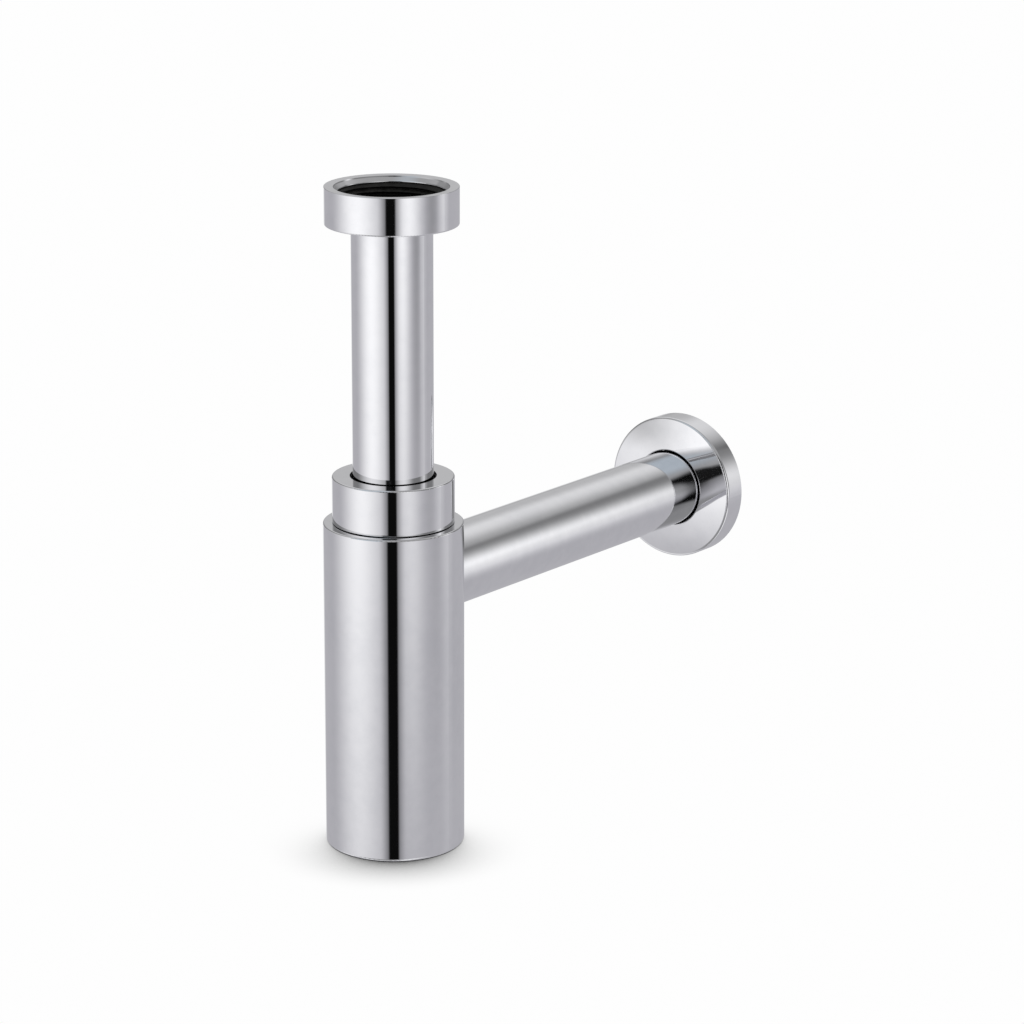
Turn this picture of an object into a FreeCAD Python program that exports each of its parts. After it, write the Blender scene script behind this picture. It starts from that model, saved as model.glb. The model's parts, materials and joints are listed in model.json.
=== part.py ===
import FreeCAD, Part
import math
import os

from FreeCAD import Vector

# Bottle trap of chromed brass for a basin waste, in millimetres.
# Z runs up the bottle's axis and Y along the outlet pipe to the wall.
# The origin is on the axis, at the face of the inlet washer that the basin waste lands on.

# Clearances
FIT = 0.1            # radial play of a thread or a sliding fit
NIP = 0.05           # play left around a rubber or nylon ring
EDGE = 0.6           # rounding of the plated outer edges
BEVEL = 0.8          # bevel at a thread's mouth or a tube's end

# Tubes, the 1 1/4 inch thread and the finer threads of the plug and the pipe
TUBE_D = 32.0        # outside of the inlet tube
TUBE_WALL = 1.0
PIPE_D = 32.0        # outside of the outlet pipe
PIPE_WALL = 1.0
THREAD_STEP = 4.955  # the thread's outer radius over the inlet tube's
THREAD_DEPTH = 1.48
PLUG_THREAD_DEPTH = 0.92
PIPE_THREAD_DEPTH = 0.61
THREAD_PLAY = 0.2    # what passes through a thread clears its crests by this

# Bottle
BODY_H = 133.1       # base to shoulder
BODY_WALL = 1.8
WATERWAY = 10.1      # radial room between the inlet tube and the bottle's wall
SHOULDER = 6.0       # thickness of the top
NECK_H = 10.0        # threaded neck above the shoulder
NECK_WALL = 1.755    # neck outside the seal's seat
NECK_PLAY = 0.4      # radial play of the tube in the neck
SEAT_DEPTH = 4.0     # seal's seat below the top of the neck
BASE_ROUND = 1.0     # rounding of the bottom edge
BASE_RIM = 3.8       # radial width of the rim around the cleaning plug
BASE_RING_H = 11.0   # height of that rim inside

# Outlet port in the bottle's side
OUTLET_DROP = 26.6   # pipe's axis below the shoulder
PORT_GAP = 1.0       # boss to the inlet tube
PORT_LIP = 1.0       # lip at the port's inner end
PORT_BOSS = 4.9      # boss wall around the port
END_GAP = 0.2        # pipe's end to the lip

# Compression joint on the neck
SEAL_PROUD = 3.4     # seal above the neck
SEAL_TAPER = 1.5     # how much the seal narrows at its top
SLIP_RING_H = 1.8
LOCK_NUT_WALL = 3.145
LOCK_NUT_CROWN = 3.5
LOCK_NUT_GAP = 0.25  # nut's lower edge over the shoulder
LOCK_NUT_ROUND = 0.25  # rounding of that edge
CROWN_GAP = 1.15     # radial gap around the tube in the nut's crown

# Inlet joint
INLET_RISE = 100.3   # bare tube between the two nuts
INLET_NUT_WALL = 5.295
INLET_THREAD_H = 5.65
LEAD_ROUND = 0.5     # rounding where the nut's thread meets the bevel above it
LEAD_IN = 1.44       # bevel above the nut's thread
MOUTH_STEP = 0.48    # height of the steep wall above that bevel
MOUTH_LEAN = 0.18    # how far that wall leans outwards
RIM_FALL = 0.22      # how far the nut's rim falls inwards
RIM_EDGE = 0.2       # rounding of the rim's outer edge
RELIEF = 0.55        # groove under the thread
NUT_PLAY = 0.5       # radial gap around the tube in the nut's floor
NUT_LAND = 0.675     # floor above and below the grip ring
NUT_RING = 1.6       # section of the grip ring
LIP_H = 1.4          # tube's lip, which passes through the nut's thread
WASHER_H = 2.5
WASHER_BORE = 0.4    # washer's hole inside the tube's bore

# Cleaning plug
PLUG_RECESS = 0.5    # plug's face above the base
PLUG_FLOOR = 4.0
PLUG_WALL = 1.8
PLUG_THREAD_H = 6.0
PLUG_RING = 2.2      # section of the plug's ring
PLUG_LAND = 1.3      # plug above the ring's groove
SLOT_L = 30.0
SLOT_W = 3.2
SLOT_DEPTH = 2.0
DIP_GAP = 12.5       # inlet tube's lower end over the plug's floor

# Outlet pipe and wall flange
WALL_REACH = 198.0   # bottle's axis to the wall
PIPE_TAIL = 12.0     # pipe past the wall's face
MARK_W = 1.2         # groove that marks how far the pipe goes into the wall
MARK_DEPTH = 0.3
SLEEVE_L = 11.0      # thick threaded end of the pipe
SLEEVE_WALL = 1.2
PIPE_RING = 1.0      # section of the pipe's ring
PIPE_LAND = 0.5      # pipe's nose on each side of the ring's groove
FLANGE_DEPTH = 10.0
FLANGE_SHEET = 1.6
FLANGE_DOME = 1.8    # how far the front face would stand out at the pipe's axis
FLANGE_ROUND = 1.2   # rounding of the front edge
FLANGE_FACE = 14.4   # radial width of the front face
FLANGE_GAP = 0.6     # radial gap around the pipe
FLANGE_LIP = 0.5     # rounding of the hole's edge
FLANGE_RING = 2.3    # section of the flange's grip ring
COLLAR_WALL = 2.0
COLLAR_SHORT = 2.0   # collar stops this far before the wall

# Radii worked out from those
tube_r = TUBE_D / 2
tube_bore_r = tube_r - TUBE_WALL
thread_r = tube_r + THREAD_STEP
inside_thread_r = thread_r - THREAD_DEPTH - THREAD_PLAY
seat_r = thread_r - NECK_WALL
body_bore_r = tube_r + WATERWAY
body_r = body_bore_r + BODY_WALL
plug_bore_r = body_r - BASE_RIM
plug_r = plug_bore_r - FIT
plug_nose_r = plug_bore_r - PLUG_THREAD_DEPTH - THREAD_PLAY
plug_seal_r = plug_nose_r + FIT
plug_groove_r = plug_seal_r - 2 * NIP - PLUG_RING
pipe_r = PIPE_D / 2
port_r = pipe_r + FIT
pipe_nose_r = port_r - PIPE_THREAD_DEPTH - THREAD_PLAY
port_seal_r = pipe_nose_r + FIT
pipe_groove_r = port_seal_r - 2 * NIP - PIPE_RING
sleeve_bore_r = pipe_groove_r - SLEEVE_WALL
lock_nut_r = thread_r + FIT + LOCK_NUT_WALL
inlet_nut_r = thread_r + INLET_NUT_WALL
flange_hole_r = pipe_r + FLANGE_GAP
flange_r = flange_hole_r + FLANGE_FACE

# Heights above the base
plug_floor_z = PLUG_RECESS + PLUG_FLOOR
plug_step_z = PLUG_RECESS + PLUG_THREAD_H
plug_ring_z = BASE_RING_H - PLUG_LAND - NIP - PLUG_RING / 2
tube_end_z = plug_floor_z + DIP_GAP
outlet_z = BODY_H - OUTLET_DROP
neck_top_z = BODY_H + NECK_H
seat_z = neck_top_z - SEAT_DEPTH
seal_top_z = neck_top_z + SEAL_PROUD
slip_ring_z = seal_top_z + NIP
slip_ring_top_z = slip_ring_z + SLIP_RING_H
crown_z = slip_ring_top_z + NIP
lock_nut_z = BODY_H + LOCK_NUT_GAP
lock_nut_top_z = crown_z + LOCK_NUT_CROWN
inlet_nut_z = lock_nut_top_z + INLET_RISE
nut_ring_z = inlet_nut_z + NUT_LAND + NIP + NUT_RING / 2
nut_floor_z = inlet_nut_z + 2 * NUT_LAND + NUT_RING + 2 * NIP
lip_z = nut_floor_z + NIP
washer_z = lip_z + LIP_H
inlet_z = washer_z + WASHER_H
thread_top_z = inlet_z + INLET_THREAD_H
lead_in_z = thread_top_z + LEAD_ROUND * (2 ** 0.5 - 1)   # where the thread's wall and the bevel would meet
rim_z = lead_in_z + LEAD_IN + MOUTH_STEP
inlet_nut_top_z = rim_z + RIM_FALL

# Distances from the bottle's axis along the pipe
boss_y = tube_r + PORT_GAP
lip_y = boss_y + PORT_LIP
pipe_end_y = lip_y + END_GAP
pipe_ring_y = pipe_end_y + PIPE_LAND + NIP + PIPE_RING / 2
pipe_step_y = pipe_ring_y + PIPE_RING / 2 + NIP + PIPE_LAND
port_step_y = pipe_step_y - END_GAP
tail_y = WALL_REACH + PIPE_TAIL
flange_y = WALL_REACH - FLANGE_DEPTH
flange_ring_y = flange_y + (FLANGE_DEPTH + FLANGE_SHEET - COLLAR_SHORT) / 2


def lathe(*corners):
    """Solid turned about Z from (radius, height) corners; a third number rounds that corner."""
    points = [Vector(corner[0], 0, corner[1]) for corner in corners]
    edges = []
    runs = []
    for i, corner in enumerate(corners):
        here = points[i]
        start = end = here
        if len(corner) == 3:
            back = (points[i - 1] - here).normalize()
            ahead = (points[(i + 1) % len(points)] - here).normalize()
            half = back.getAngle(ahead) / 2
            start = here + back * (corner[2] / math.tan(half))
            end = here + ahead * (corner[2] / math.tan(half))
            inward = (back + ahead).normalize()
            middle = here + inward * (corner[2] / math.sin(half) - corner[2])
            edges.append(Part.Arc(start, middle, end).toShape())
        runs.append((start, end))
    for i, run in enumerate(runs):
        edges.append(Part.makeLine(runs[i - 1][1], run[0]))
    wire = Part.Wire(Part.__sortEdges__(edges))
    return Part.Face(wire).revolve(Vector(), Vector(0, 0, 1), 360)


def along_pipe(shape):
    """Turn a shape made about Z so that its height runs along the outlet pipe."""
    laid = shape.copy()
    laid.rotate(Vector(), Vector(1, 0, 0), -90)
    laid.translate(Vector(0, 0, outlet_z))
    return laid


def ring(inner_r, section, height):
    """Round-section ring about Z, centred on that height."""
    return Part.makeTorus(inner_r + section / 2, section / 2, Vector(0, 0, height), Vector(0, 0, 1))


def groove(inner_r, outer_r, section, height):
    """Square groove for such a ring, as a solid to cut away."""
    half = section / 2 + NIP
    return lathe(
        (inner_r, height - half), (outer_r, height - half), (outer_r, height + half), (inner_r, height + half)
    )


def bottle_body():
    """Bottle with its threaded neck, the seal's seat, the outlet port and the rim for the plug."""
    neck_bore_r = tube_r + NECK_PLAY
    shell = lathe(
        (plug_bore_r + BEVEL, 0),
        (body_r, 0, BASE_ROUND),
        (body_r, BODY_H, EDGE),
        (thread_r, BODY_H),
        (thread_r, neck_top_z - BEVEL),
        (thread_r - BEVEL, neck_top_z),
        (seat_r, neck_top_z),
        (seat_r, seat_z),
        (neck_bore_r, seat_z),
        (neck_bore_r, BODY_H - SHOULDER),
        (body_bore_r, BODY_H - SHOULDER),
        (body_bore_r, BASE_RING_H),
        (plug_seal_r, BASE_RING_H),
        (plug_seal_r, plug_step_z + END_GAP),
        (plug_bore_r, plug_step_z + END_GAP),
        (plug_bore_r, BEVEL),
    )
    boss_r = port_r + PORT_BOSS
    boss = along_pipe(lathe((0, boss_y), (boss_r, boss_y), (boss_r, body_r), (0, body_r)))
    inside = lathe((0, BASE_RING_H), (body_r - BODY_WALL / 2, BASE_RING_H),
                   (body_r - BODY_WALL / 2, BODY_H - SHOULDER / 2), (0, BODY_H - SHOULDER / 2))
    port = along_pipe(lathe((0, lip_y), (port_seal_r, lip_y), (port_seal_r, port_step_y),
                            (port_r, port_step_y), (port_r, 2 * body_r), (0, 2 * body_r)))
    passage = along_pipe(lathe((0, 0), (sleeve_bore_r, 0), (sleeve_bore_r, body_r), (0, body_r)))
    return shell.fuse(boss.common(inside)).cut(port).cut(passage).removeSplitter()


def tube_seal():
    """Tapered rubber ring between the neck and the inlet tube."""
    outer_r = seat_r - NIP
    return lathe(
        (tube_r + NIP, seat_z),
        (outer_r, seat_z),
        (outer_r, neck_top_z),
        (outer_r - SEAL_TAPER, seal_top_z),
        (tube_r + NIP, seal_top_z),
    )


def slip_ring():
    """Flat nylon ring that lets the lock nut turn without dragging the seal."""
    return lathe(
        (tube_r + NUT_PLAY, slip_ring_z),
        (inside_thread_r, slip_ring_z),
        (inside_thread_r, slip_ring_top_z),
        (tube_r + NUT_PLAY, slip_ring_top_z),
    )


def lock_nut():
    """Round nut that screws down the neck and squeezes the seal on the inlet tube."""
    bore_r = thread_r + FIT
    return lathe(
        (bore_r + BEVEL, lock_nut_z),
        (lock_nut_r, lock_nut_z, LOCK_NUT_ROUND),
        (lock_nut_r, lock_nut_top_z, EDGE),
        (tube_r + CROWN_GAP, lock_nut_top_z),
        (tube_r + CROWN_GAP, crown_z),
        (bore_r, crown_z),
        (bore_r, lock_nut_z + BEVEL),
    )


def inlet_tube():
    """Straight tube, lipped at the top and open at its lower end under the water level."""
    return lathe(
        (tube_bore_r, tube_end_z),
        (tube_r, tube_end_z),
        (tube_r, lip_z),
        (inside_thread_r, lip_z),
        (inside_thread_r, washer_z),
        (tube_bore_r, washer_z),
    )


def inlet_washer():
    """Flat rubber washer on the tube's lip, which the basin waste lands on."""
    hole_r = tube_bore_r - WASHER_BORE
    return lathe(
        (hole_r, washer_z),
        (inside_thread_r, washer_z),
        (inside_thread_r, inlet_z),
        (hole_r, inlet_z),
    )


def nut_grip_ring():
    """Rubber ring in the inlet nut's floor, which keeps the nut where it is put on the tube."""
    return ring(tube_r + NIP, NUT_RING, nut_ring_z)


def inlet_nut():
    """Round union nut with the thread that the basin waste screws into."""
    hole_r = tube_r + NUT_PLAY
    relief_r = thread_r + RELIEF
    nut = lathe(
        (hole_r, inlet_nut_z),
        (inlet_nut_r, inlet_nut_z, EDGE),
        (inlet_nut_r, inlet_nut_top_z, RIM_EDGE),
        (thread_r + LEAD_IN + MOUTH_LEAN, rim_z),
        (thread_r + LEAD_IN, rim_z - MOUTH_STEP),
        (thread_r, lead_in_z, LEAD_ROUND),
        (thread_r, inlet_z),
        (relief_r, inlet_z),
        (relief_r, nut_floor_z),
        (hole_r, nut_floor_z),
    )
    return nut.cut(groove(tube_r, tube_r + NUT_RING + 2 * NIP, NUT_RING, nut_ring_z))


def plug_ring():
    """Rubber ring that seals the cleaning plug in the bottle's base."""
    return ring(plug_groove_r + NIP, PLUG_RING, plug_ring_z)


def base_plug():
    """Screw-in cleaning plug, a shallow cup with a coin slot underneath."""
    cup_r = plug_groove_r - PLUG_WALL
    plug = lathe(
        (0, PLUG_RECESS),
        (plug_r - BEVEL, PLUG_RECESS),
        (plug_r, PLUG_RECESS + BEVEL),
        (plug_r, plug_step_z),
        (plug_nose_r, plug_step_z),
        (plug_nose_r, BASE_RING_H),
        (cup_r, BASE_RING_H),
        (cup_r, plug_floor_z),
        (0, plug_floor_z),
    )
    slot = Part.makeBox(SLOT_L, SLOT_W, SLOT_DEPTH, Vector(-SLOT_L / 2, -SLOT_W / 2, PLUG_RECESS))
    return plug.cut(groove(plug_groove_r, plug_bore_r, PLUG_RING, plug_ring_z)).cut(slot)


def pipe_ring():
    """Rubber ring that seals the outlet pipe in the bottle's port."""
    return along_pipe(ring(pipe_groove_r + NIP, PIPE_RING, pipe_ring_y))


def outlet_pipe():
    """Straight pipe to the wall, with a thick threaded end that screws into the port."""
    bore_r = pipe_r - PIPE_WALL
    sleeve_y = pipe_end_y + SLEEVE_L
    pipe = lathe(
        (sleeve_bore_r, pipe_end_y),
        (pipe_nose_r, pipe_end_y),
        (pipe_nose_r, pipe_step_y),
        (pipe_r, pipe_step_y),
        (pipe_r, tail_y - BEVEL / 2),
        (pipe_r - BEVEL / 2, tail_y),
        (bore_r, tail_y),
        (bore_r, sleeve_y + bore_r - sleeve_bore_r),
        (sleeve_bore_r, sleeve_y),
    )
    pipe = pipe.cut(groove(pipe_groove_r, port_r, PIPE_RING, pipe_ring_y))
    mark_y = WALL_REACH - MARK_W
    mark = lathe((pipe_r - MARK_DEPTH, mark_y), (pipe_r + FIT, mark_y),
                 (pipe_r + FIT, WALL_REACH), (pipe_r - MARK_DEPTH, WALL_REACH))
    return along_pipe(pipe.cut(mark))


def flange_grip_ring():
    """Rubber ring in the flange's collar, which holds the flange on the pipe."""
    return along_pipe(ring(pipe_r + NIP, FLANGE_RING, flange_ring_y))


def wall_flange():
    """Round cover plate, a shallow domed cup with a collar inside, which hides the hole in the wall."""
    collar_r = pipe_r + FLANGE_RING + 2 * NIP + COLLAR_WALL
    back_y = flange_y + FLANGE_SHEET
    front_y = flange_y - FLANGE_DOME
    dome_r = (flange_r ** 2 + FLANGE_DOME ** 2) / (2 * FLANGE_DOME)
    flange = lathe(
        (flange_hole_r, front_y),
        (flange_r, front_y),
        (flange_r, WALL_REACH),
        (flange_r - FLANGE_SHEET, WALL_REACH),
        (flange_r - FLANGE_SHEET, back_y),
        (collar_r, back_y),
        (collar_r, WALL_REACH - COLLAR_SHORT),
        (flange_hole_r, WALL_REACH - COLLAR_SHORT),
    )
    flange = flange.common(Part.makeSphere(dome_r, Vector(0, 0, front_y + dome_r)))
    rim = [edge for edge in flange.Edges if abs(edge.BoundBox.Center.z - flange_y) < FIT]
    flange = flange.makeFillet(FLANGE_ROUND, rim)
    lip = [edge for edge in flange.Edges
           if edge.BoundBox.Center.z < back_y and abs(edge.BoundBox.XMax - flange_hole_r) < FIT]
    flange = flange.makeFillet(FLANGE_LIP, lip)
    seat = groove(pipe_r, pipe_r + FLANGE_RING + 2 * NIP, FLANGE_RING, flange_ring_y)
    return along_pipe(flange.cut(seat))


SUB_PARTS = (
    bottle_body,
    tube_seal,
    slip_ring,
    lock_nut,
    inlet_tube,
    inlet_washer,
    nut_grip_ring,
    inlet_nut,
    plug_ring,
    base_plug,
    pipe_ring,
    outlet_pipe,
    flange_grip_ring,
    wall_flange,
)

os.makedirs("parts", exist_ok=True)
for make in SUB_PARTS:
    shape = make()
    shape.translate(Vector(0, 0, -inlet_z))
    shape.exportStep(f"parts/{make.__name__}.step")
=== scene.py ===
"""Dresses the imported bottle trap: cut threads, chrome, brass and rubber, and a pale studio around it."""

import json
import math

import bmesh
import bpy
from bpy.props import FloatProperty, FloatVectorProperty, IntProperty, PointerProperty
from mathutils import Matrix, Vector

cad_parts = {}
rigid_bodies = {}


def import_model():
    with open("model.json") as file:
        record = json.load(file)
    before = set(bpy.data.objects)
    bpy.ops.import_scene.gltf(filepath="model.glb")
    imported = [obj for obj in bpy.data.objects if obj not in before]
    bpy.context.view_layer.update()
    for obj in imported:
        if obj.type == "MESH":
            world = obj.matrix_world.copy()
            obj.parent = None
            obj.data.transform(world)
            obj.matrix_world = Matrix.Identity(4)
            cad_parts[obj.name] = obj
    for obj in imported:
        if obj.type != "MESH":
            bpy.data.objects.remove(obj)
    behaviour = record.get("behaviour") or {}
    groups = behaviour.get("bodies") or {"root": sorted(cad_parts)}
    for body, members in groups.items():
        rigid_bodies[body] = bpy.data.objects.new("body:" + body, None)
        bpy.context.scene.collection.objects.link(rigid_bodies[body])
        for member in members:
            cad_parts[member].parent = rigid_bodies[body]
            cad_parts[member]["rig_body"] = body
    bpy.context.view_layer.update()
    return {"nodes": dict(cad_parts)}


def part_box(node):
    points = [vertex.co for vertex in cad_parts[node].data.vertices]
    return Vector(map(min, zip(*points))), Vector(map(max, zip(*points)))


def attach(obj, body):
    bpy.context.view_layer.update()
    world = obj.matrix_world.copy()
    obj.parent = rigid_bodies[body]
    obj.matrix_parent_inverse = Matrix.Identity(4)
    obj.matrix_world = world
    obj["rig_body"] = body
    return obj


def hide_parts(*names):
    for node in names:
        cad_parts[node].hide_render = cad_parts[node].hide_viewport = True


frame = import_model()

bl_info = {
    "name": "Bottle trap",
    "version": (1, 0, 0),
    "blender": (4, 5, 0),
    "location": "3D View > Sidebar > Bottle trap",
    "description": "Cuts the bottle trap's threads, finishes its pieces and sets up its studio",
    "category": "Object",
}

NODES = frame["nodes"]
MM = 0.001
WELD = 0.000002                # points closer than this are one point
SAME_ANGLE = 0.000001          # points of two rings within this angle stand over each other
FEWEST_POINTS = 12             # a circle of the CAD mesh has more
HAIR = 0.05 * MM               # margin around a face or an edge that is picked out by its place

# Places where a piece was turned: the bottle's own axis, and the outlet pipe's along +Y
PIPE_Z = sum(corner.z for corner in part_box("outlet_pipe")) / 2
UPRIGHT = Matrix.Identity(4)
ALONG_PIPE = Matrix(((0, 1, 0, 0), (0, 0, 1, 0), (1, 0, 0, PIPE_Z), (0, 0, 0, 1)))

# Threads
FLANK = 1.3                    # how steep a flank is
RUN_OUT = 0.7 * MM             # where a thread fades out before its last edge

# Bottle
NECK_H = 10 * MM               # from the shoulder to the neck's top
NECK_RUN_OUT = 0.4 * MM        # where the neck's thread fades out over the shoulder
SEAT_INSET = 1.755 * MM        # from the neck's thread in to the seal's seat
SEAT_EDGE = 0.2 * MM           # width that stays round the seat
CHAMBER_R = 26.3 * MM          # just over the chamber's radius
RIM_R = 24.1 * MM              # thread in the base rim
RIM_H = 10.9 * MM              # from the base to the rim's top
RIM_THREAD_H = 6.7 * MM        # from the base to that thread's end

# Nuts
CROWN_H = 3.5 * MM             # lock nut, from its thread's end to its top
NUT_FLOOR_H = 3 * MM           # inlet nut, under its chamber
MOUTH_H = 5.65 * MM            # inlet nut, from the washer to the thread's end
MOUTH_RELIEF = 0.6 * MM        # widest that the mouth gets past the thread
TUBE_BORE_R = 15.5 * MM        # just over the inlet tube's bore

# Cleaning plug
PLUG_R = 24.0 * MM
PLUG_NOSE_R = 22.98 * MM
PLUG_THREAD_H = 6 * MM         # from the base to the thread's end
SLOT_REACH = 15.1 * MM         # half the coin slot's length, and over
SLOT_SIDE = 1.7 * MM           # half its width, and over
SLOT_DEPTH = 2.1 * MM

# Outlet pipe and wall flange
PIPE_R = 16.0 * MM
PIPE_NOSE_R = 15.29 * MM
PIPE_BORE_R = 15.5 * MM        # just over the pipe's bore
PIPE_NOSE_H = 2.1 * MM         # from the pipe's near end to its thread
PIPE_THREAD_H = 4.4 * MM       # from the near end to that thread's end
PIPE_MARK = 13.2 * MM          # from the far end to the marking groove
HOLLOW_R = 29.5 * MM           # flange's hollow back
HOLLOW_H = 9.4 * MM            # its depth

# Studio
CAMERA_SIDE = 50               # degrees from the +X axis to the camera, clockwise
NEUTRAL = (1.0, 1.0, 1.01)     # tint of the studio's cards
COOL = (0.9, 1.0, 1.09)        # tint of the card that stands for the sky
SHADOW_LEAN = 35               # degrees that the floor's painted shadow leans away from the camera
# Strength and falloff of the floor's painted shadow
SHADOW_GAIN = 1.4
SHADOW_POWER = 2.0
LAMP_PLACE = (0.3, -0.4, 1.4)
LAMP_AIM = (0, 0.05, -0.13)
LAMP_SIZE = 1.4
LAMP_POWER = 9.0


class TrapThreads(bpy.types.PropertyGroup):
    """Sizes of the threads that the screwed pieces carry."""

    union_radius: FloatProperty(
        name="Union radius", description="Outer radius of the 1 1/4 inch thread",
        default=0.020955, precision=6, unit="LENGTH")
    union_pitch: FloatProperty(
        name="Union pitch", description="Rise of the 1 1/4 inch thread in one turn",
        default=0.00230926, precision=6, unit="LENGTH")
    union_depth: FloatProperty(
        name="Union depth", description="Crest to root of the 1 1/4 inch thread",
        default=0.00148, precision=6, unit="LENGTH")
    plug_pitch: FloatProperty(
        name="Plug pitch", description="Rise of the cleaning plug's thread in one turn",
        default=0.0015, precision=6, unit="LENGTH")
    plug_depth: FloatProperty(
        name="Plug depth", description="Crest to root of the cleaning plug's thread",
        default=0.00092, precision=6, unit="LENGTH")
    pipe_pitch: FloatProperty(
        name="Pipe pitch", description="Rise of the outlet pipe's thread in one turn",
        default=0.001, precision=6, unit="LENGTH")
    pipe_depth: FloatProperty(
        name="Pipe depth", description="Crest to root of the outlet pipe's thread",
        default=0.00061, precision=6, unit="LENGTH")
    play: FloatProperty(
        name="Play", description="Radial play between a thread and the one around it",
        default=0.0001, precision=6, unit="LENGTH")
    bevel: FloatProperty(
        name="Bevel", description="Bevel at the mouth of a thread",
        default=0.0008, precision=6, unit="LENGTH")
    columns: IntProperty(
        name="Columns", description="Points round one turn of a thread", default=144, min=48, max=360)
    steps: IntProperty(
        name="Steps", description="Rows of points in one pitch of a thread", default=16, min=6, max=40)


class TrapFinish(bpy.types.PropertyGroup):
    """Colours of the finishes."""

    chrome: FloatVectorProperty(
        name="Chrome", description="Polished chrome plate",
        default=(0.88, 0.88, 0.895), size=3, min=0, max=1, subtype="COLOR")
    chrome_haze: FloatVectorProperty(
        name="Hazed chrome", description="Chrome plate where handling has left a faint film",
        default=(0.84, 0.842, 0.86), size=3, min=0, max=1, subtype="COLOR")
    brass: FloatVectorProperty(
        name="Brass", description="Turned brass of the threads, without plate",
        default=(0.66, 0.5, 0.24), size=3, min=0, max=1, subtype="COLOR")
    brass_dull: FloatVectorProperty(
        name="Dull brass", description="The same brass where it has tarnished",
        default=(0.36, 0.25, 0.1), size=3, min=0, max=1, subtype="COLOR")
    nickel: FloatVectorProperty(
        name="Nickel", description="Thin dull plate of the neck's thread and the lock nut's inside",
        default=(0.24, 0.24, 0.235), size=3, min=0, max=1, subtype="COLOR")
    nickel_dull: FloatVectorProperty(
        name="Dull nickel", description="The same plate where grease has darkened it",
        default=(0.09, 0.09, 0.088), size=3, min=0, max=1, subtype="COLOR")
    # Painted shade: the bore colours are near-black and stand in for the shade deep in the inlet nut's mouth
    # and down the inlet tube, with lighter streaks laid by noise.
    bore: FloatVectorProperty(
        name="Bore", description="Dark inside of the bores and of the inlet's mouth",
        default=(0.008, 0.008, 0.0075), size=3, min=0, max=1, subtype="COLOR")
    bore_shade_streaks: FloatVectorProperty(
        name="Streaked bore shade", description="Lighter streaks inside the bores",
        default=(0.018, 0.0175, 0.016), size=3, min=0, max=1, subtype="COLOR")
    rubber: FloatVectorProperty(
        name="Rubber", description="Black rubber of the washer, the seal and the rings",
        default=(0.018, 0.018, 0.019), size=3, min=0, max=1, subtype="COLOR")
    nylon: FloatVectorProperty(
        name="Nylon", description="Black nylon of the slip ring",
        default=(0.05, 0.05, 0.052), size=3, min=0, max=1, subtype="COLOR")


class TrapStudio(bpy.types.PropertyGroup):
    """Camera, floor and light."""

    camera_place: FloatVectorProperty(
        name="Camera", description="Where the camera stands",
        default=(0.86557, -1.03133, 0.26039), size=3, subtype="TRANSLATION", unit="LENGTH")
    heading: FloatProperty(
        name="Heading", description="Turn of the camera from the wall's direction",
        default=math.radians(38.0154), subtype="ANGLE")
    tilt: FloatProperty(
        name="Tilt", description="How far the camera looks down",
        default=math.radians(15.8753), subtype="ANGLE")
    roll: FloatProperty(
        name="Roll", description="Lean of the camera", default=math.radians(0.2068), subtype="ANGLE")
    lens: FloatProperty(
        name="Lens", description="Focal length on a 36 mm wide frame, in millimetres",
        default=124.66, min=10, max=400)
    floor_radius: FloatProperty(
        name="Floor", description="Radius of the floor", default=12.0, unit="LENGTH")
    # Reach of the floor's painted shadow, as the occlusion distance
    shadow_reach: FloatProperty(
        name="Shadow reach", description="How far the shadow spreads from what stands on the floor",
        default=0.032, precision=4, unit="LENGTH")
    white: FloatProperty(
        name="White", description="Level of the floor and the backdrop", default=0.99, min=0, max=1,
        subtype="FACTOR")
    fill: FloatProperty(
        name="Fill", description="Level of the light from all round", default=0.75, min=0, max=2)
    surround: FloatVectorProperty(
        name="Surround", description="Grey of the studio's walls in the chrome",
        default=(0.462, 0.457, 0.485), size=3, min=0, max=2, subtype="COLOR")


# Meshes

def tooth(turn):
    """How far into a thread's profile a place is, from 0 at the outer flat to 1 at the inner one."""
    rise = 1 - abs(2 * (turn - math.floor(turn)) - 1)
    return min(1.0, max(0.0, 0.5 + FLANK * (rise - 0.5)))


def helix(radius, pitch, depth, low=-math.inf, high=math.inf, tip=None):
    """Radius of a right-handed thread at an angle and a height.

    It runs out below low and above high, and tip is a (radius, height) that its crests are cut down to.
    """
    def radius_at(angle, height):
        found = radius - depth * tooth(height / pitch - angle / math.tau)
        found = max(found, radius - max(0.0, height - low), radius - max(0.0, high - height))
        if tip:
            found = min(found, tip[0] + abs(height - tip[1]))
        return found
    return radius_at


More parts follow.
